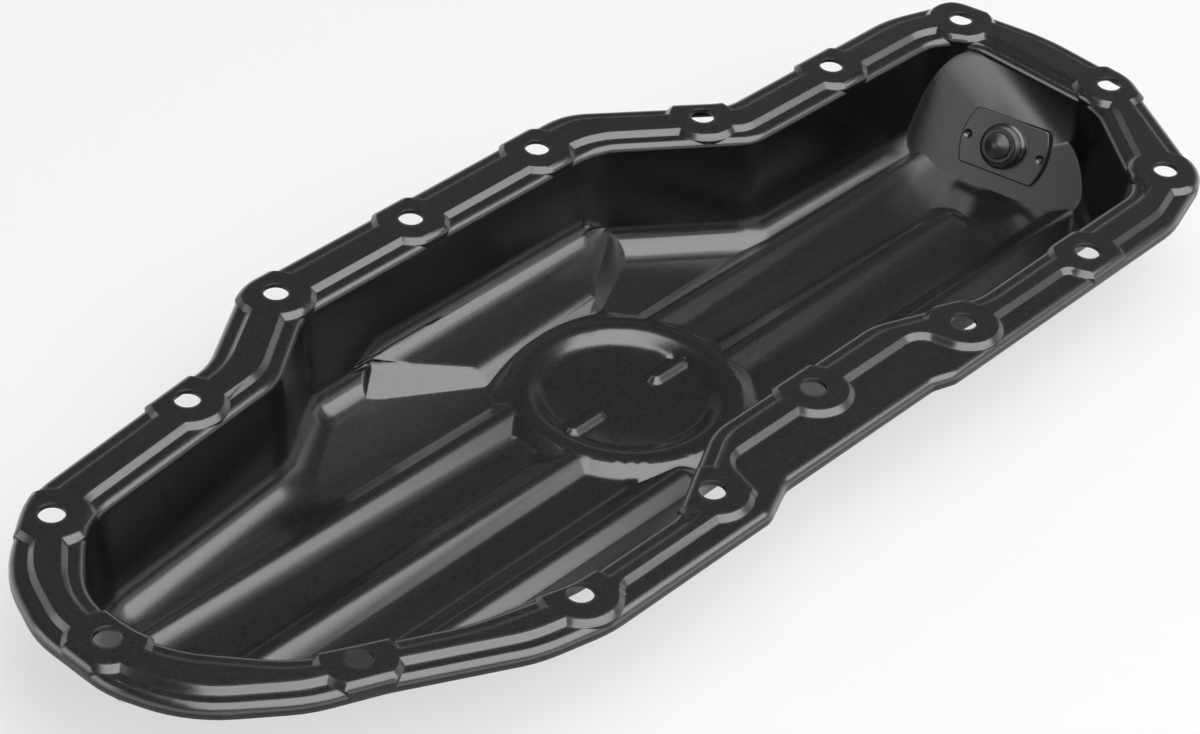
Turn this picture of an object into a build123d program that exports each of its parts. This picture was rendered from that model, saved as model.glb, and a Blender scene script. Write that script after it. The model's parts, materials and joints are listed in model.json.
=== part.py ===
from build123d import *
import math
import os

os.makedirs("parts", exist_ok=True)

# Heights run up from the outside of the floor; the gasket face is on top.
sheet = 1.2
floor_depth = 36.0
height = floor_depth + sheet
wall_draft = 4.0
floor_radius = 9.0
bend_radius = 2.5
skirt_height = 5.0

# Gasket flange.
bolt_hole = 7.0
ledge_drop = 1.5
outer_ledge = 4.6
inner_ledge = 4.0
bolt_pad_radius = 9.5
bolts = [
    (183.5, 30.5), (133.0, 40.5), (83.5, 48.5), (35.5, 69.5), (-15.5, 69.5), (-66.5, 69.5),
    (-114.5, 51.5), (-169.0, 40.5), (-188.5, -2.5), (-150.0, -48.0), (-95.0, -68.5),
    (-42.0, -65.0), (9.5, -55.5), (62.0, -65.0), (114.0, -68.5), (164.0, -60.0), (188.5, -22.0),
]
# The flat that carries the drain: its foot on the floor, its turn and how far its normal rises.
drain_foot_x = 161.0
drain_turn = 12.0
drain_rise = 32.0
drain_centre = (168.5, -2.0, height - 24.0)
drain_hole = 12.6

# Drain fittings, measured along the drain axis from the inside of the sheet.
plate_length, plate_width, plate_thickness, plate_end_radius = 28.0, 17.5, 1.6, 18.5
boss_radius, boss_top, boss_bore = 8.0, 4.6, 6.05
dimple_spacing, dimple_radius = 24.0, 1.7
gasket_radius, gasket_bore, gasket_thickness = 10.0, 6.2, 1.5
plug_thread_radius, plug_thread_end, plug_tip = 6.0, 7.4, 10.4
plug_flange_radius, plug_flange_thickness, plug_hex, plug_hex_height = 10.0, 2.0, 13.0, 6.0

# The slopes along the near side: two points of each foot line on the floor, and their rise.
near_slopes = [
    ((150.0, -35.3), (-75.0, -35.3)), ((-70.0, -37.0), (-145.0, -22.0)),
    ((-145.0, -22.0), (-172.0, 5.0)),
]
near_rise = 48.0

# Floor ribs, the ring round the pickup and the raised floor behind it.
rib_height = 2.6
rib_half_width = 7.0
ribs = [
    (-190, -22, 19.5), (-190, -26, -5.5), (-190, -10, -30),
    (32, 190, 20.5), (35, 139, -4.5), (20, 190, -29),
]
ring_centre = (5.0, 4.3)
ring_inner, ring_crest_inner, ring_crest_outer, ring_outer = 21.4, 26.5, 33.0, 38.0
ring_height = 2.9
bead_length, bead_width, bead_height = 12.0, 4.4, 1.4
bead_spots = [(-12.0, 3.8), (22.0, 3.8)]
raised_corners = [(-21, 33), (30, 35), (58, 49), (62, 90), (-54, 90), (-50, 51)]
raised_height = 6.0
raised_slope = 11.0
raised_side = 45.0
raised_edge = 6.0

# Each outline is a ring of corners: x, y and the radius of the corner.
flange_corners = [
    (56, 79, 22), (-71, 79, 16), (-99, 61, 22), (-168, 52, 30), (-190, 34, 40),
    (-198.5, 12, 30), (-198.5, -13, 30), (-191, -33, 40), (-168, -50.5, 40), (-150, -58, 40),
    (-116, -75.5, 40), (-96, -80, 40), (-36, -80, 8), (-24, -74.8, 8), (37, -74.8, 8),
    (44, -77, 8), (146, -76.5, 30), (171, -69, 14), (197.5, -24, 14), (198.5, 8, 60),
    (191.5, 40.5, 10), (168, 48.2, 40), (95, 49.5, 14),
]
wall_corners = [
    (50, 59.3, 20), (-66, 59.3, 16), (-90, 43, 24), (-164, 34, 24), (-181.5, 14, 24),
    (-181, -12, 34), (-160, -37, 34), (-120, -56.5, 60), (-92, -64, 40), (-54, -64, 16),
    (-22, -47.5, 20), (44, -47, 20), (76, -59.2, 18), (152, -58.5, 14), (178, -25, 20),
    (178, 29.5, 14), (88, 31.5, 14),
]
# The low shelf along the side where the flange is widest.
shelf_corners = [
    (104, -69.8, 3), (52, -69.8, 3), (49, -59.5, 6), (-29, -59.5, 6), (-33, -73.5, 3),
    (-86, -73.5, 3), (-86, -90, 3), (104, -90, 3),
]


def outline_face(corners, grow=0.0):
    # Moves every side out by grow and rounds each corner with a tangent arc.
    count = len(corners)
    spots = [Vector(x, y) for x, y, radius in corners]
    ways = [(spots[(i + 1) % count] - spots[i]).normalized() for i in range(count)]
    edges, ends = [], []
    for i in range(count):
        before, after = ways[i - 1], ways[i]
        out_before, out_after = Vector(before.Y, -before.X), Vector(after.Y, -after.X)
        spread = 1 + out_before.dot(out_after)
        corner = spots[i] + (out_before + out_after) * (grow / spread)
        turn = math.atan2(before.cross(after).Z, before.dot(after))
        radius = corners[i][2] + (grow if turn > 0 else -grow)
        back = radius * math.tan(abs(turn) / 2)
        inward = (after - before).normalized()
        start, stop = corner - before * back, corner + after * back
        middle = corner + inward * (radius / math.cos(turn / 2) - radius)
        ends.append((start, middle, stop))
    for i in range(count):
        start, middle, stop = ends[i]
        edges.append(ThreePointArc(start, middle, stop))
        edges.append(Line(stop, ends[(i + 1) % count][0]))
    return make_face(Wire(edges))


def slab(face, low, high):
    return extrude(Pos(0, 0, low) * face, amount=high - low, dir=(0, 0, 1))


def tapered(face, low, high, angle):
    # Starts on face at the level low and narrows by angle on its way to high.
    return extrude(Pos(0, 0, low) * face, amount=high - low, dir=(0, 0, 1), taper=angle)


def rounded_top(solid, level, radius):
    edges = solid.edges().filter_by_position(Axis.Z, level - 0.01, level + 0.01)
    return fillet(edges, radius)


def flange_block(level, inset):
    # A plate with a hole for the sump, both of its upper rims rolled over.
    lean = (height - level + bend_radius) * math.tan(math.radians(wall_draft))
    plate = slab(outline_face(flange_corners, -inset), height - skirt_height, level)
    hole = outline_face(wall_corners, inset - lean - (0.1 if inset else 0))
    plate -= slab(hole, height - skirt_height, level)
    return rounded_top(plate, level, bend_radius - inset)


def high_zone(lower, shrink):
    # What stands at full height: the middle of the flange and a pad at each bolt.
    top, foot = height - lower, height - lower - ledge_drop
    band = outline_face(flange_corners, -outer_ledge - shrink)
    zone = tapered(band, foot, top, 45)
    hole = outline_face(wall_corners, inner_ledge + shrink)
    zone -= tapered(hole, foot, top, -45)
    zone -= tapered(outline_face(shelf_corners, shrink), foot, top, -45)
    for x, y in bolts:
        wide = bolt_pad_radius + ledge_drop - shrink
        pad = Cone(wide, wide - ledge_drop, ledge_drop, align=(Align.CENTER, Align.CENTER, Align.MIN))
        zone += Pos(x, y, foot) * pad
        zone += Pos(x, y, foot - 4) * Cylinder(wide, 4, align=(Align.CENTER, Align.CENTER, Align.MIN))
    return zone


def flange_form(inset):
    high = flange_block(height - inset, inset) & high_zone(inset, inset * 0.4)
    return flange_block(height - inset - ledge_drop, inset) + high


# Where the rolled rim of the low ledges ends on the wall, and how far the wall's cut runs past it.
rim_foot = height - ledge_drop - bend_radius
inside_top = rim_foot + 1.2
floor = sheet

turn, rise = math.radians(drain_turn), math.radians(drain_rise)
inward = Vector(-math.cos(turn) * math.cos(rise), -math.sin(turn) * math.cos(rise), math.sin(rise))
along = Vector(-math.sin(turn), math.cos(turn), 0)
drain_foot = Vector(drain_foot_x, 0, floor)
above = (Vector(*drain_centre) - drain_foot).dot(inward)
drain = Plane(origin=Vector(*drain_centre) - inward * above, x_dir=along, z_dir=inward)


def sump_prism(grow, bottom):
    # Drafted walls from the mouth down. The inside stops short of the gasket face, below the
    # rolled rim that it meets, and the outside runs on through the flange.
    top = height if grow else inside_top
    drawn_in = (height - top) * math.tan(math.radians(wall_draft))
    mouth = Pos(0, 0, top) * outline_face(wall_corners, grow - drawn_in)
    return extrude(mouth, amount=top - bottom, dir=(0, 0, -1), taper=wall_draft)


def raised_plane(grow):
    tilt = math.radians(raised_slope)
    return Plane(
        origin=(5, 50, floor + raised_height - grow),
        x_dir=(1, 0, 0),
        z_dir=(0, -math.sin(tilt), math.cos(tilt)),
    )


def raised_floor(grow):
    # What is open above the raised floor; its foot is rolled like that of the deep part.
    walls = sump_prism(grow, 0) & Pos(5, 50, 30) * Box(190, 80, 80)
    walls = split(walls, bisect_by=raised_plane(grow), keep=Keep.TOP)
    foot = walls.faces().sort_by(Axis.Z)[0].edges()
    return fillet(foot.filter_by(lambda edge: edge.bounding_box().min.Y > 11), floor_radius + grow)


def deep_form(grow):
    walls = sump_prism(grow, floor - grow)
    foot = walls.faces().sort_by(Axis.Z)[0].edges()
    walls = fillet(foot, floor_radius + grow)
    flat = Plane(origin=drain_foot - inward * grow, z_dir=inward)
    walls = split(walls, bisect_by=flat, keep=Keep.TOP)
    slant = math.radians(near_rise)
    for start, end in near_slopes:
        way = (Vector(*end) - Vector(*start)).normalized()
        up = Vector(way.Y, -way.X) * math.sin(slant) + Vector(0, 0, math.cos(slant))
        slope = Plane(origin=Vector(*start, floor) - up * grow, z_dir=up)
        walls = split(walls, bisect_by=slope, keep=Keep.TOP)
    return walls


def rib_face(grow):
    # Half of a rib in section: a straight flank and a rounded crest.
    wide = rib_half_width - 0.2 * grow
    low = floor - grow
    shoulder, dip = 2.2, 0.5
    run = (wide - shoulder) / (rib_height - dip)
    flank = Line((wide + 2 * run, low - 2), (shoulder, low + rib_height - dip))
    crest = ThreePointArc(flank @ 1, (1.15, low + rib_height - 0.13), (0, low + rib_height))
    return make_face([flank, crest, Line(crest @ 1, (0, low - 2)), Line((0, low - 2), flank @ 0)])


def rib(start, stop, y, grow):
    # The section is swept along the rib and turned about its ends.
    half = Plane.XZ * rib_face(grow)
    bar = extrude(Plane.YZ * rib_face(grow), amount=stop - start)
    bar += mirror(bar, about=Plane.XZ)
    end = revolve(half, Axis.Z)
    return Pos(start, y, 0) * (bar + end) + Pos(stop, y, 0) * end


def ring(grow):
    low, top, slim = floor - grow, floor - grow + ring_height, 0.2 * grow
    middle = (ring_crest_inner + ring_crest_outer) / 2
    inner = Line((ring_inner + slim - 1, low - 0.5), (ring_crest_inner, top - 0.4))
    crest = ThreePointArc(inner @ 1, (middle, top), (ring_crest_outer, top - 0.4))
    outer = Line(crest @ 1, (ring_outer - slim + 1, low - 0.5))
    face = make_face([inner, crest, outer, Line(outer @ 1, inner @ 0)])
    return Pos(*ring_centre, 0) * revolve(Plane.XZ * face, Axis.Z)


def beads(grow):
    solid = None
    for x, y in bead_spots:
        slot = SlotOverall(bead_length - grow, bead_width - grow)
        bead = Pos(x, y, 0) * tapered(slot, floor - grow - 0.01, floor - grow + bead_height, 40)
        solid = bead if solid is None else solid + bead
    return solid


def sump_form(grow):
    # The space inside the sump, or with grow at one sheet its outside.
    form = deep_form(grow)
    for start, stop, y in ribs:
        form -= rib(start, stop, y, grow)
    form -= ring(grow)
    form -= beads(grow)
    outline = outline_face([(x, y, 0.5) for x, y in raised_corners], -0.4 * grow)
    block = tapered(outline, floor - grow - 0.5, height - 14, raised_side)
    lump = block - raised_floor(grow)
    top = raised_plane(grow)

    def on_front_edge(edge):
        flat = all(abs(top.to_local_coords(edge @ place).Z) < 0.01 for place in (0, 0.5, 1))
        return flat and edge.bounding_box().min.Y < 45

    return form - fillet(lump.edges().filter_by(on_front_edge), raised_edge - grow)


def make_pan():
    inside, outside = sump_form(0.0), sump_form(sheet)
    below = Pos(0, 0, rim_foot + 0.15 - 50) * Box(500, 300, 100)
    solid = flange_form(0.0) + (outside & below)
    solid -= flange_form(sheet) - outside
    solid -= inside
    for x, y in bolts:
        solid -= Pos(x, y, height) * Cylinder(bolt_hole / 2, 12)
    solid -= drain * Cylinder(drain_hole / 2, 12)
    return solid


def make_boss_plate():
    half, side = plate_length / 2, plate_width / 2
    corner = half - plate_end_radius + math.sqrt(plate_end_radius**2 - side**2)
    right = ThreePointArc((corner, -side), (half, 0), (corner, side))
    left = ThreePointArc((-corner, side), (-half, 0), (-corner, -side))
    outline = make_face([right, Line(right @ 1, left @ 0), left, Line(left @ 1, right @ 0)])
    solid = extrude(outline, amount=plate_thickness)
    solid = fillet(solid.edges().filter_by(Axis.Z), 1.0)
    solid = fillet(solid.faces().sort_by(Axis.Z)[-1].edges(), 0.5)
    boss = Cylinder(boss_radius, boss_top, align=(Align.CENTER, Align.CENTER, Align.MIN))
    boss = chamfer(boss.edges().sort_by(Axis.Z)[-1], 0.9)
    solid += boss
    solid -= Cylinder(boss_bore, 20)
    for side in (-1, 1):
        solid -= Pos(side * dimple_spacing / 2, 0, plate_thickness + 0.9) * Sphere(dimple_radius)
    return drain * solid


def make_gasket():
    ring_solid = Cylinder(gasket_radius, gasket_thickness) - Cylinder(gasket_bore, 10)
    return drain * Pos(0, 0, -sheet - gasket_thickness / 2) * ring_solid


def make_plug():
    seat = -sheet - gasket_thickness
    back = seat - plug_flange_thickness
    outline = Polyline(
        (0, back), (plug_flange_radius - 0.6, back), (plug_flange_radius, back + 0.6),
        (plug_flange_radius, seat), (plug_thread_radius - 0.6, seat),
        (plug_thread_radius - 0.6, seat + 1.2), (plug_thread_radius, seat + 1.8),
        (plug_thread_radius, plug_thread_end - 1.0), (plug_thread_radius - 1.0, plug_thread_end),
        (4.2, plug_thread_end), (3.8, plug_tip - 1.6), (0.8, plug_tip), (0, plug_tip), close=True,
    )
    solid = revolve(Plane.XZ * make_face(outline), Axis.Z)
    hexagon = RegularPolygon(plug_hex / 2, 6, major_radius=False)
    head = extrude(Pos(0, 0, back + 0.1) * hexagon, amount=-plug_hex_height - 0.1)
    crown = Cone(plug_hex / 2 + 5.6, plug_hex / 2 - 0.4, 9, align=(Align.CENTER, Align.CENTER, Align.MAX))
    head &= Pos(0, 0, back - plug_hex_height) * Rot(180, 0, 0) * crown
    return drain * (solid + head)


parts = {
    "oil_pan": make_pan(),
    "drain_boss_plate": make_boss_plate(),
    "drain_plug_gasket": make_gasket(),
    "drain_plug": make_plug(),
}
for name, solid in parts.items():
    export_step(solid, f"parts/{name}.step")
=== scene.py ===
import json
import math

import bmesh
import bpy
from mathutils import Matrix, Vector


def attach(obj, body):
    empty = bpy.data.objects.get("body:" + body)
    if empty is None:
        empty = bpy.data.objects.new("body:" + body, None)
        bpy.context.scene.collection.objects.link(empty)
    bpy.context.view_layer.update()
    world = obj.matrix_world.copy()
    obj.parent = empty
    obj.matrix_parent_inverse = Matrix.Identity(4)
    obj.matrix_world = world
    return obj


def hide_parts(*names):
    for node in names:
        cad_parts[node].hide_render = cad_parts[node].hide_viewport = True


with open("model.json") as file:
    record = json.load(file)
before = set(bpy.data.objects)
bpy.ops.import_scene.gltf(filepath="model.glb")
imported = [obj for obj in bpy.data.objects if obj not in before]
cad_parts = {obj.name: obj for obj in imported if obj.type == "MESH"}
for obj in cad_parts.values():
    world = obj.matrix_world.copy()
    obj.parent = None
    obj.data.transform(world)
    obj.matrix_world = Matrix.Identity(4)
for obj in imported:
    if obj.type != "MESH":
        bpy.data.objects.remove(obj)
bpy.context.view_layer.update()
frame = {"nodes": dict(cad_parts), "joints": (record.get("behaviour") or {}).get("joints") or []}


print("frame loaded:", ", ".join(sorted(frame["nodes"])))


# The camera looks down into the open pan from the side of the low shelf.
cameraView = {
    "spot": (-0.57993, -0.46813, 0.59807),
    "forward": (0.60805, 0.50124, -0.61566),
    "roll": 5.0,
    "lens": 103.77,
    "sensor": 36.0,
    "nearest": 0.01,
    "furthest": 50,
}


def addCamera(view):
    forward = Vector(view["forward"]).normalized()
    level = forward.cross(Vector((0, 0, 1))).normalized()
    over = level.cross(forward)
    turn = math.radians(view["roll"])
    right = level * math.cos(turn) + over * math.sin(turn)
    up = over * math.cos(turn) - level * math.sin(turn)
    data = bpy.data.cameras.new("studioCamera")
    data.sensor_width = view["sensor"]
    data.lens = view["lens"]
    data.clip_start = view["nearest"]
    data.clip_end = view["furthest"]
    camera = bpy.data.objects.new("studioCamera", data)
    bpy.context.scene.collection.objects.link(camera)
    turned = Matrix((right, up, -forward)).transposed().to_4x4()
    camera.matrix_world = Matrix.Translation(view["spot"]) @ turned
    bpy.context.scene.camera = camera


addCamera(cameraView)
print("camera placed")


# Small helpers that wire the nodes of a material, a group or the world.
def addNode(tree, kind, **values):
    node = tree.nodes.new(kind)
    for key, value in values.items():
        if key in node.inputs:
            node.inputs[key].default_value = value
        else:
            setattr(node, key, value)
    return node


def join(tree, source, target):
    tree.links.new(source, target)


def newGroup(name, inputs, outputs):
    tree = bpy.data.node_groups.new(name, "ShaderNodeTree")
    for label, kind, value in inputs:
        socket = tree.interface.new_socket(name=label, in_out="INPUT", socket_type=kind)
        socket.default_value = value
    for label, kind in outputs:
        tree.interface.new_socket(name=label, in_out="OUTPUT", socket_type=kind)
    return tree, tree.nodes.new("NodeGroupInput"), tree.nodes.new("NodeGroupOutput")


def useGroup(tree, group, **values):
    node = tree.nodes.new("ShaderNodeGroup")
    node.node_tree = group
    for label, value in values.items():
        node.inputs[label].default_value = value
    return node


def newMaterial(name, look):
    material = bpy.data.materials.new(name)
    material.use_nodes = True
    tree = material.node_tree
    shader = tree.nodes["Principled BSDF"]
    for label, value in look.items():
        shader.inputs[label].default_value = value
    return material, tree, shader


# Orange peel of a baked coat over the slow waves of drawn sheet.
def buildCoatSkin():
    tree, into, out = newGroup(
        "coatSkin",
        [("Peel Scale", "NodeSocketFloat", 900.0), ("Peel", "NodeSocketFloat", 0.2),
         ("Wave Scale", "NodeSocketFloat", 30.0), ("Wave", "NodeSocketFloat", 0.5)],
        [("Height", "NodeSocketFloat")],
    )
    spot = tree.nodes.new("ShaderNodeTexCoord")
    heights = []
    for scale, amount, detail in (("Peel Scale", "Peel", 2.0), ("Wave Scale", "Wave", 1.0)):
        noise = addNode(tree, "ShaderNodeTexNoise", Detail=detail, Roughness=0.5)
        join(tree, spot.outputs["Object"], noise.inputs["Vector"])
        join(tree, into.outputs[scale], noise.inputs["Scale"])
        scaled = addNode(tree, "ShaderNodeMath", operation="MULTIPLY")
        join(tree, noise.outputs["Fac"], scaled.inputs[0])
        join(tree, into.outputs[amount], scaled.inputs[1])
        heights.append(scaled)
    total = addNode(tree, "ShaderNodeMath", operation="ADD")
    join(tree, heights[0].outputs[0], total.inputs[0])
    join(tree, heights[1].outputs[0], total.inputs[1])
    join(tree, total.outputs[0], out.inputs["Height"])
    return tree


# Faint smears and thin dust: a value that wanders between two limits.
def buildPatches():
    tree, into, out = newGroup(
        "patches",
        [("Scale", "NodeSocketFloat", 25.0), ("Low", "NodeSocketFloat", 0.3),
         ("High", "NodeSocketFloat", 0.4)],
        [("Value", "NodeSocketFloat")],
    )
    spot = tree.nodes.new("ShaderNodeTexCoord")
    noise = addNode(tree, "ShaderNodeTexNoise", Detail=5.0, Roughness=0.6, Distortion=0.6)
    join(tree, spot.outputs["Object"], noise.inputs["Vector"])
    join(tree, into.outputs["Scale"], noise.inputs["Scale"])
    spread = addNode(tree, "ShaderNodeMapRange", **{"From Min": 0.3, "From Max": 0.7})
    join(tree, noise.outputs["Fac"], spread.inputs["Value"])
    join(tree, into.outputs["Low"], spread.inputs["To Min"])
    join(tree, into.outputs["High"], spread.inputs["To Max"])
    join(tree, spread.outputs["Result"], out.inputs["Value"])
    return tree


# How level the skin lies, from 0 on a steep wall to 1 on the flats and the rolled bends.
def buildLevelness():
    tree, into, out = newGroup(
        "levelness",
        [("From", "NodeSocketFloat", 0.12), ("To", "NodeSocketFloat", 0.4)],
        [("Value", "NodeSocketFloat")],
    )
    way = tree.nodes.new("ShaderNodeTexCoord")
    parts = tree.nodes.new("ShaderNodeSeparateXYZ")
    join(tree, way.outputs["Normal"], parts.inputs[0])
    size = addNode(tree, "ShaderNodeMath", operation="ABSOLUTE")
    join(tree, parts.outputs["Z"], size.inputs[0])
    spread = addNode(tree, "ShaderNodeMapRange", interpolation_type="SMOOTHSTEP")
    join(tree, size.outputs[0], spread.inputs["Value"])
    join(tree, into.outputs["From"], spread.inputs["From Min"])
    join(tree, into.outputs["To"], spread.inputs["From Max"])
    join(tree, spread.outputs["Result"], out.inputs["Value"])
    return tree


coatSkin = buildCoatSkin()
patches = buildPatches()
levelness = buildLevelness()

# The pan's baked black coat. Steep walls get a darker colour as painted shade, and less gloss than
# the flats. The random dusty tone stays on the level parts.
# Scales are in turns of the noise per metre.
blackCoatLook = {
    # The wall colour is painted shade on the steep walls.
    "wall": (0.003, 0.003, 0.0032, 1.0),
    "base": (0.0062, 0.0062, 0.0056, 1.0),
    "dusty": (0.021, 0.0206, 0.0184, 1.0),
    "roughLow": 0.24,
    "roughHigh": 0.31,
    "ior": 1.45,
    "coatIor": 1.8,
    "coatRoughness": 0.2,
    "smearScale": 22.0,
    "grainScale": 1000.0,
    "skin": {"Peel Scale": 1300.0, "Peel": 0.01, "Wave Scale": 45.0, "Wave": 0.05},
    "bump": 0.5,
    "softEdge": 0.0015,
    "softSamples": 6,
}


def buildBlackCoat(name, look):
    material, tree, shader = newMaterial(name, {
        "IOR": look["ior"], "Coat IOR": look["coatIor"], "Coat Roughness": look["coatRoughness"],
    })
    smear = useGroup(tree, patches, Scale=look["smearScale"],
                     Low=look["roughLow"], High=look["roughHigh"])
    join(tree, smear.outputs["Value"], shader.inputs["Roughness"])
    grain = useGroup(tree, patches, Scale=look["grainScale"], Low=0.0, High=1.0)
    tone = addNode(tree, "ShaderNodeMix", data_type="RGBA")
    tone.inputs[6].default_value = look["base"]
    tone.inputs[7].default_value = look["dusty"]
    join(tree, grain.outputs["Value"], tone.inputs[0])
    level = useGroup(tree, levelness)
    # Painted shade: steep walls take the darker wall colour, and the level parts keep the base
    # colour with its random dusty tone.
    shade = addNode(tree, "ShaderNodeMix", data_type="RGBA")
    shade.inputs[6].default_value = look["wall"]
    join(tree, level.outputs["Value"], shade.inputs[0])
    join(tree, tone.outputs[2], shade.inputs[7])
    join(tree, shade.outputs[2], shader.inputs["Base Color"])
    join(tree, level.outputs["Value"], shader.inputs["Coat Weight"])
    skin = useGroup(tree, coatSkin, **look["skin"])
    bump = addNode(tree, "ShaderNodeBump", Strength=look["bump"], Distance=0.001)
    join(tree, skin.outputs["Height"], bump.inputs["Height"])
    soft = addNode(tree, "ShaderNodeBevel", samples=look["softSamples"], Radius=look["softEdge"])
    join(tree, soft.outputs["Normal"], bump.inputs["Normal"])
    join(tree, bump.outputs["Normal"], shader.inputs["Normal"])
    return material


blackCoat = buildBlackCoat("blackCoat", blackCoatLook)

# The plug's dark steel and the sealing ring's bright aluminium are built alike.
plugSteelLook = {
    "base": (0.05, 0.05, 0.052, 1.0),
    "worn": (0.11, 0.11, 0.112, 1.0),
    "metallic": 0.7,
    "roughLow": 0.28,
    "roughHigh": 0.42,
}
sealLook = {
    "base": (0.55, 0.55, 0.56, 1.0),
    "worn": (0.68, 0.68, 0.69, 1.0),
    "metallic": 1.0,
    "roughLow": 0.32,
    "roughHigh": 0.5,
}
turnedSkin = {
    "smearScale": 400.0,
    "wearScale": 700.0,
    "skin": {"Peel Scale": 2500.0, "Peel": 0.01, "Wave Scale": 300.0, "Wave": 0.01},
    "bump": 0.4,
}


def buildTurnedMetal(name, look):
    material, tree, shader = newMaterial(name, {"Metallic": look["metallic"]})
    smear = useGroup(tree, patches, Scale=turnedSkin["smearScale"],
                     Low=look["roughLow"], High=look["roughHigh"])
    join(tree, smear.outputs["Value"], shader.inputs["Roughness"])
    wear = useGroup(tree, patches, Scale=turnedSkin["wearScale"], Low=0.0, High=1.0)
    tone = addNode(tree, "ShaderNodeMix", data_type="RGBA")
    tone.inputs[6].default_value = look["base"]
    tone.inputs[7].default_value = look["worn"]
    join(tree, wear.outputs["Value"], tone.inputs[0])
    join(tree, tone.outputs[2], shader.inputs["Base Color"])
    skin = useGroup(tree, coatSkin, **turnedSkin["skin"])
    bump = addNode(tree, "ShaderNodeBump", Strength=turnedSkin["bump"], Distance=0.001)
    join(tree, skin.outputs["Height"], bump.inputs["Height"])
    join(tree, bump.outputs["Normal"], shader.inputs["Normal"])
    return material


plugSteel = buildTurnedMetal("plugSteel", plugSteelLook)
sealAluminium = buildTurnedMetal("sealAluminium", sealLook)
print("materials built")


# A solid's loose triangles are merged into one skin, so that its rolled bends reflect smoothly.
skinFinish = {"merge": 2e-6, "crease": 32.0, "flatWeight": 60}


def skinFromNode(nodeName, pieceName, body, material, shape):
    mesh = bpy.data.meshes.new(pieceName)
    bm = bmesh.new()
    bm.from_mesh(frame["nodes"][nodeName].data)
    bmesh.ops.remove_doubles(bm, verts=bm.verts, dist=skinFinish["merge"])
    shape(bm)
    for face in bm.faces:
        face.smooth = True
        face.material_index = 0
    crease = math.radians(skinFinish["crease"])
    for edge in bm.edges:
        edge.smooth = edge.calc_face_angle(0.0) < crease
    bm.to_mesh(mesh)
    bm.free()
    if "custom_normal" in mesh.attributes:
        mesh.attributes.remove(mesh.attributes["custom_normal"])
    mesh.materials.clear()
    mesh.materials.append(material)
    piece = bpy.data.objects.new(pieceName, mesh)
    bpy.context.scene.collection.objects.link(piece)
    weighted = piece.modifiers.new("flatWeights", "WEIGHTED_NORMAL")
    weighted.mode = "FACE_AREA"
    weighted.weight = skinFinish["flatWeight"]
    weighted.keep_sharp = True
    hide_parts(nodeName)
    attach(piece, body)
    return piece


# The raised floor is rolled up into the back wall, in millimetres and degrees. The wall's mouth
# runs straight along X and then round a corner. Full and fade are where along X the roll has its
# whole radius and where it ends. Only points further back than from and lower than below move,
# and each slack is how near one has to be to the inner or the outer skin or to the fold.
backRoll = {
    "radius": 9.5, "sheet": 1.2, "full": (-38.0, 42.0), "fade": (-50.0, 55.0),
    "planeSpot": (5.0, 50.0, 7.2), "planeTilt": 11.0, "height": 37.2, "draft": 4.0,
    "cornerCentre": (43.46, 39.3), "cornerRadius": 20.0, "cornerTurn": 36.2,
    "cutLow": (-52.0, 46.0, 2.0), "cutHigh": (57.0, 60.0, 24.0), "cutStep": (3.0, 1.0, 1.0),
    "from": 40.0, "below": 26.0, "innerSlack": 0.04, "outerSlack": 0.2, "foldSlack": 0.02,
}


# Cuts the faces that reach into a box by planes along X, Y and Z.
def cutGrid(bm, low, high, step):
    def reachesIn(face):
        for axis in range(3):
            places = [vert.co[axis] * 1000 for vert in face.verts]
            if max(places) < low[axis] or min(places) > high[axis]:
                return False
        return True

    faces = [face for face in bm.faces if reachesIn(face)]
    geom = faces + list({edge for face in faces for edge in face.edges})
    geom += list({vert for face in faces for vert in face.verts})
    for axis in range(3):
        way = [float(axis == other) for other in range(3)]
        for count in range(int(round((high[axis] - low[axis]) / step[axis])) + 1):
            spot = [way[other] * (low[axis] + count * step[axis]) / 1000 for other in range(3)]
            cut = bmesh.ops.bisect_plane(bm, geom=geom, dist=1e-6, plane_co=spot, plane_no=way)
            geom = cut["geom"]


# How far a place is from the back wall, and which way that wall faces.
def backWall(place, values):
    centre, turn = Vector(values["cornerCentre"]), math.radians(values["cornerTurn"])
    out = Vector((0.0, 1.0))
    away = values["cornerCentre"][1] + values["cornerRadius"] - place.y
    if place.x > values["cornerCentre"][0]:
        arm = place.xy - centre
        bend = math.atan2(arm.x, arm.y)
        out = arm.normalized()
        if bend > turn:
            out = Vector((math.sin(turn), math.cos(turn)))
        away = values["cornerRadius"] - arm.dot(out)
    draft = math.radians(values["draft"])
    away = (away - (values["height"] - place.z) * math.tan(draft)) * math.cos(draft)
    facing = Vector((-out.x * math.cos(draft), -out.y * math.cos(draft), math.sin(draft)))
    return away, facing


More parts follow.
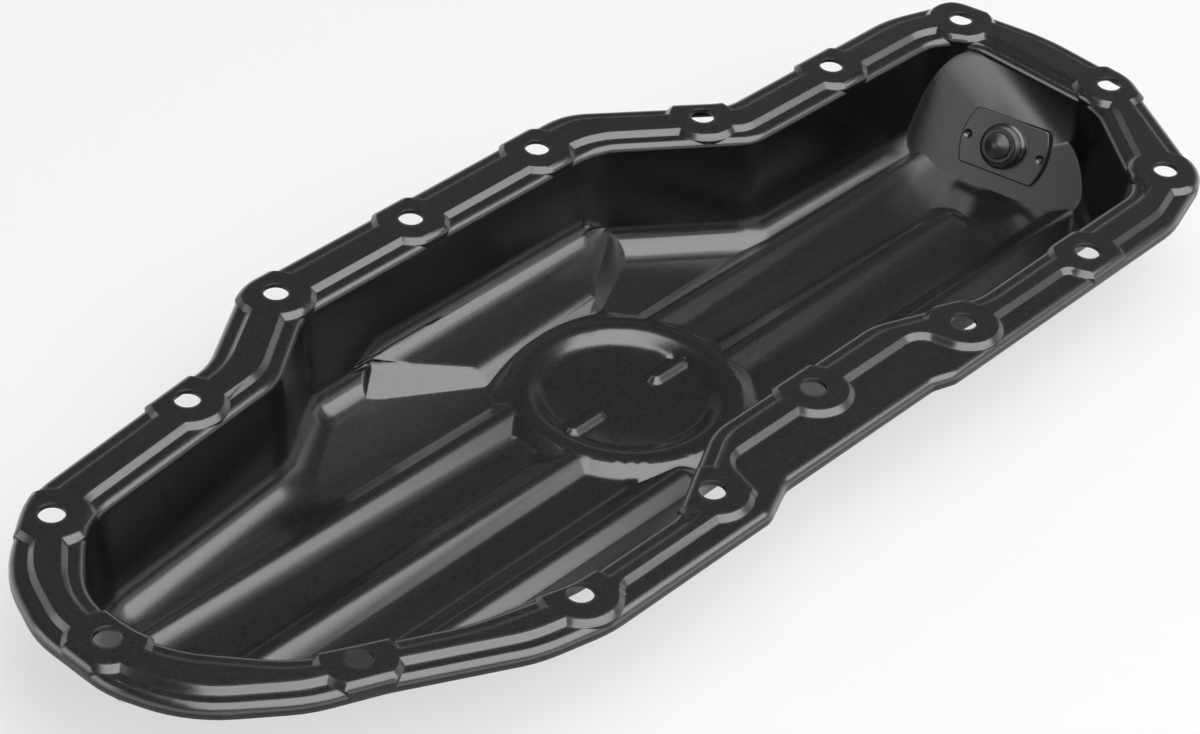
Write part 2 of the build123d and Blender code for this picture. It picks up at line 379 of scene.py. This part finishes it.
# Points of the raised floor and of the wall near their fold move onto an arc that meets both.
def rollBack(bm, values):
    cutGrid(bm, values["cutLow"], values["cutHigh"], values["cutStep"])
    tilt = math.radians(values["planeTilt"])
    up = Vector((0, -math.sin(tilt), math.cos(tilt)))
    left, right = values["fade"]
    fullLeft, fullRight = values["full"]
    moved = 0
    for vert in bm.verts:
        place = vert.co * 1000
        if not left < place.x < right or place.y <= values["from"] or place.z >= values["below"]:
            continue
        share = min(1.0, (place.x - left) / (fullLeft - left),
                    (right - place.x) / (right - fullRight))
        share = share * share * (3 - 2 * share)
        rise = (place - Vector(values["planeSpot"])).dot(up)
        away, facing = backWall(place, values)
        spread = up.angle(facing)
        for skin in (0.0, values["sheet"]):
            radius = values["radius"] * share + skin
            reach = radius * math.tan(spread / 2)
            slack = values["outerSlack"] if skin else values["innerSlack"]
            for onFace, distance, first, second in (
                    (abs(rise + skin) < slack, away + skin, up, facing),
                    (abs(away + skin) < slack, rise + skin, facing, up)):
                along = distance / math.sin(spread)
                if not onFace or not -values["foldSlack"] < along < reach:
                    continue
                inFace = (second - first * first.dot(second)).normalized()
                middle = place + inFace * (reach - along) + first * radius
                bend = (1 - along / reach) * spread / 2
                normal = (first * math.sin(spread - bend) + second * math.sin(bend)).normalized()
                vert.co = (middle - normal * radius) / 1000
                moved += 1
    print("rolled back wall:", moved, "points")


# The two slot beads in the disc are drawn longer, wider and higher than the plain solid has them.
# Points higher than inside are on the sheet's inner skin.
discBeads = {
    "spots": ((-12.0, 3.8), (22.0, 3.8)), "half": (7.5, 3.0), "grow": (1.28, 1.28, 1.2),
    "below": 4.0, "inside": 1.15, "sheet": 1.2,
}


def growBeads(bm, values):
    for vert in bm.verts:
        for spot in values["spots"]:
            place = vert.co * 1000
            off = (place.x - spot[0], place.y - spot[1])
            beside = abs(off[0]) < values["half"][0] and abs(off[1]) < values["half"][1]
            if beside and place.z < values["below"]:
                foot = values["sheet"] if place.z > values["inside"] else 0.0
                vert.co = Vector((spot[0] + off[0] * values["grow"][0],
                                  spot[1] + off[1] * values["grow"][1],
                                  foot + (place.z - foot) * values["grow"][2])) / 1000


def shapePan(bm):
    growBeads(bm, discBeads)
    rollBack(bm, backRoll)


panShell = skinFromNode("oil_pan", "panShell", "pan", blackCoat, shapePan)
print("pan skin:", len(panShell.data.polygons), "faces")


# The drain's own frame: millimetres, with Z along the plug's axis from the inside of the sheet.
def drainPlace():
    turn = next(joint for joint in frame["joints"] if joint["name"] == "drain_turn")
    inward = -Vector(turn["axis"]).normalized()
    along = inward.cross(Vector((0, 0, 1))).normalized()
    axes = Matrix((along, inward.cross(along), inward)).transposed().to_4x4()
    return Matrix.Translation(turn["pos_m"]) @ axes @ Matrix.Scale(0.001, 4)


# The boss is drawn slimmer and lower than the plain solid, so that the plug's thread shows.
slimBoss = {
    "inner": 7.0, "outer": 8.1, "foot": 1.5, "overFoot": 1.7, "plateTop": 1.6,
    "slim": 0.875, "low": 0.72,
}


def shapePlate(bm):
    place = drainPlace()
    bmesh.ops.transform(bm, matrix=place.inverted(), verts=bm.verts)
    for vert in bm.verts:
        reach = vert.co.xy.length
        if slimBoss["inner"] < reach < slimBoss["outer"] and vert.co.z > slimBoss["foot"]:
            vert.co.xy = vert.co.xy * slimBoss["slim"]
        if reach < slimBoss["outer"] and vert.co.z > slimBoss["overFoot"]:
            top = slimBoss["plateTop"]
            vert.co.z = top + (vert.co.z - top) * slimBoss["low"]
    bmesh.ops.transform(bm, matrix=place, verts=bm.verts)


bossPlate = skinFromNode(
    "drain_boss_plate", "bossPlate", "pan", blackCoat, shapePlate)
print("boss plate:", len(bossPlate.data.polygons), "faces")

# The plug's shank is turned down to the thread's root and a ridge winds round it. Foot and flat are
# half the ridge's width at its foot and at its crest, in pitches.
plugThread = {
    "shank": (-2.0, 7.3), "root": 5.2, "crest": 5.97, "pitch": 1.25, "foot": 0.5, "flat": 0.09,
    "sunk": 0.1, "start": -0.9, "turns": 6.25, "steps": 36, "fade": 0.6,
}


def turnDownShank(bm, values):
    low, high = values["shank"]
    for vert in bm.verts:
        reach = vert.co.xy.length
        if reach > values["root"] and low < vert.co.z < high:
            vert.co.xy = vert.co.xy * (values["root"] / reach)


def windThread(bm, values):
    root, crest, pitch = values["root"] - values["sunk"], values["crest"], values["pitch"]
    foot, flat = values["foot"], values["flat"]
    section = [(root, -foot), (crest, -flat), (crest, flat), (root, foot)]
    ring = [bm.verts.new((reach, 0, values["start"] + rise * pitch)) for reach, rise in section]
    line = [bm.edges.new(pair) for pair in zip(ring, ring[1:] + ring[:1])]
    known = set(bm.verts) - set(ring)
    bmesh.ops.spin(bm, geom=ring + line, cent=(0, 0, 0), axis=(0, 0, 1),
                   dvec=(0, 0, pitch / values["steps"]), angle=2 * math.pi * values["turns"],
                   steps=int(values["steps"] * values["turns"]), use_merge=False)
    ridge = [vert for vert in bm.verts if vert not in known]
    first = values["start"]
    last = first + pitch * values["turns"]
    for vert in ridge:  # the ridge sinks into the shank at both ends
        reach = vert.co.xy.length
        turned = math.atan2(vert.co.y, vert.co.x) / (2 * math.pi) % 1.0
        middle = first + pitch * (round((vert.co.z - first) / pitch - turned) + turned)
        share = min(1.0, max(0.0, middle - first) / values["fade"],
                    max(0.0, last - middle) / values["fade"])
        vert.co.xy = vert.co.xy * ((root + (reach - root) * share) / reach)
    ends = [edge for edge in bm.edges if edge.is_boundary]
    bmesh.ops.holes_fill(bm, edges=ends, sides=4)
    wound = list({face for vert in ridge for face in vert.link_faces})
    bmesh.ops.recalc_face_normals(bm, faces=wound)
    outward = 0
    for face in wound:
        outward += 1 if face.normal.xy.dot(face.calc_center_median().xy) > 0 else -1
    if outward < 0:
        bmesh.ops.reverse_faces(bm, faces=wound)


def shapePlug(bm):
    place = drainPlace()
    bmesh.ops.transform(bm, matrix=place.inverted(), verts=bm.verts)
    turnDownShank(bm, plugThread)
    windThread(bm, plugThread)
    bmesh.ops.transform(bm, matrix=place, verts=bm.verts)


drainPlug = skinFromNode("drain_plug", "drainPlug", "plug", plugSteel, shapePlug)
gasket = frame["nodes"]["drain_plug_gasket"]
gasket.data.materials.clear()
gasket.data.materials.append(sealAluminium)
print("plug and gasket finished:", len(drainPlug.data.polygons), "faces on the plug")


# The pale floor keeps the pan's shadow and shows whiter to the camera and in reflections.
floorLook = {
    "radius": 8.0, "segments": 96, "colour": (0.8, 0.8, 0.8, 1.0), "rough": 0.9, "gloss": 0.1,
    "white": 0.6,
}


def addFloor(look):
    bm = bmesh.new()
    bmesh.ops.create_circle(bm, cap_ends=True, radius=look["radius"],
                            segments=look["segments"])
    mesh = bpy.data.meshes.new("studioFloor")
    bm.to_mesh(mesh)
    bm.free()
    floor = bpy.data.objects.new("studioFloor", mesh)
    bpy.context.scene.collection.objects.link(floor)
    material, tree, shader = newMaterial("studioFloor", {
        "Base Color": look["colour"], "Roughness": look["rough"],
        "Specular IOR Level": look["gloss"],
    })
    path = tree.nodes.new("ShaderNodeLightPath")
    seen = addNode(tree, "ShaderNodeMath", operation="MAXIMUM")
    join(tree, path.outputs["Is Camera Ray"], seen.inputs[0])
    join(tree, path.outputs["Is Glossy Ray"], seen.inputs[1])
    either = addNode(tree, "ShaderNodeMath", operation="MAXIMUM")
    join(tree, seen.outputs[0], either.inputs[0])
    join(tree, path.outputs["Is Transmission Ray"], either.inputs[1])
    share = addNode(tree, "ShaderNodeMath", operation="MULTIPLY")
    share.inputs[1].default_value = look["white"]
    join(tree, either.outputs[0], share.inputs[0])
    glow = addNode(tree, "ShaderNodeEmission", Strength=1.0)
    mixed = tree.nodes.new("ShaderNodeMixShader")
    join(tree, share.outputs[0], mixed.inputs[0])
    join(tree, shader.outputs[0], mixed.inputs[1])
    join(tree, glow.outputs[0], mixed.inputs[2])
    join(tree, mixed.outputs[0], tree.nodes["Material Output"].inputs["Surface"])
    mesh.materials.append(material)


addFloor(floorLook)

# A broad box of light hangs over the camera's right, and a low panel stands to the left. Heading
# is the way the camera looks along the floor, and aside is to its right.
heading = Vector((cameraView["forward"][0], cameraView["forward"][1], 0)).normalized()
aside = heading.cross(Vector((0, 0, 1)))
lampSet = {
    "keyBox": {"ahead": -0.66, "right": 1.24, "height": 1.5, "long": 2.58, "wide": 3.2,
               "power": 70.0, "tint": (0.955, 0.97, 1.0), "level": True},
    "leftPanel": {"ahead": -0.6, "right": -1.8, "height": 0.65, "long": 1.6, "wide": 1.1,
                  "power": 7.0, "tint": (1.0, 1.0, 1.0), "level": False},
}


def addLamp(name, values):
    data = bpy.data.lights.new(name, "AREA")
    data.shape = "RECTANGLE"
    data.size = values["long"]
    data.size_y = values["wide"]
    data.energy = values["power"]
    data.color = values["tint"]
    lamp = bpy.data.objects.new(name, data)
    bpy.context.scene.collection.objects.link(lamp)
    spot = heading * values["ahead"] + aside * values["right"] + Vector((0, 0, values["height"]))
    if values["level"]:
        turned = Matrix((heading, -aside, Vector((0, 0, 1)))).transposed().to_4x4()
    else:
        turned = spot.to_track_quat("Z", "Y").to_matrix().to_4x4()
    lamp.matrix_world = Matrix.Translation(spot) @ turned


for lampName, values in lampSet.items():
    addLamp(lampName, values)

# The room is pale at the horizon and dim above it, as around a studio table.
roomLook = {
    "pale": (0.75, 0.75, 0.75, 1.0), "dim": (0.06, 0.06, 0.06, 1.0), "from": 0.18, "to": 0.48,
}


def buildRoom(look):
    world = bpy.data.worlds.new("studioRoom")
    bpy.context.scene.world = world
    world.use_nodes = True
    tree = world.node_tree
    spot = tree.nodes.new("ShaderNodeTexCoord")
    parts = tree.nodes.new("ShaderNodeSeparateXYZ")
    join(tree, spot.outputs["Generated"], parts.inputs[0])
    ramp = tree.nodes.new("ShaderNodeMapRange")
    ramp.inputs["From Min"].default_value = look["from"]
    ramp.inputs["From Max"].default_value = look["to"]
    join(tree, parts.outputs["Z"], ramp.inputs["Value"])
    blend = addNode(tree, "ShaderNodeMix", data_type="RGBA")
    blend.inputs[6].default_value = look["pale"]
    blend.inputs[7].default_value = look["dim"]
    join(tree, ramp.outputs["Result"], blend.inputs[0])
    join(tree, blend.outputs[2], tree.nodes["Background"].inputs["Color"])


buildRoom(roomLook)
bpy.context.scene.view_settings.view_transform = "Standard"
print("floor, lamp and room set")
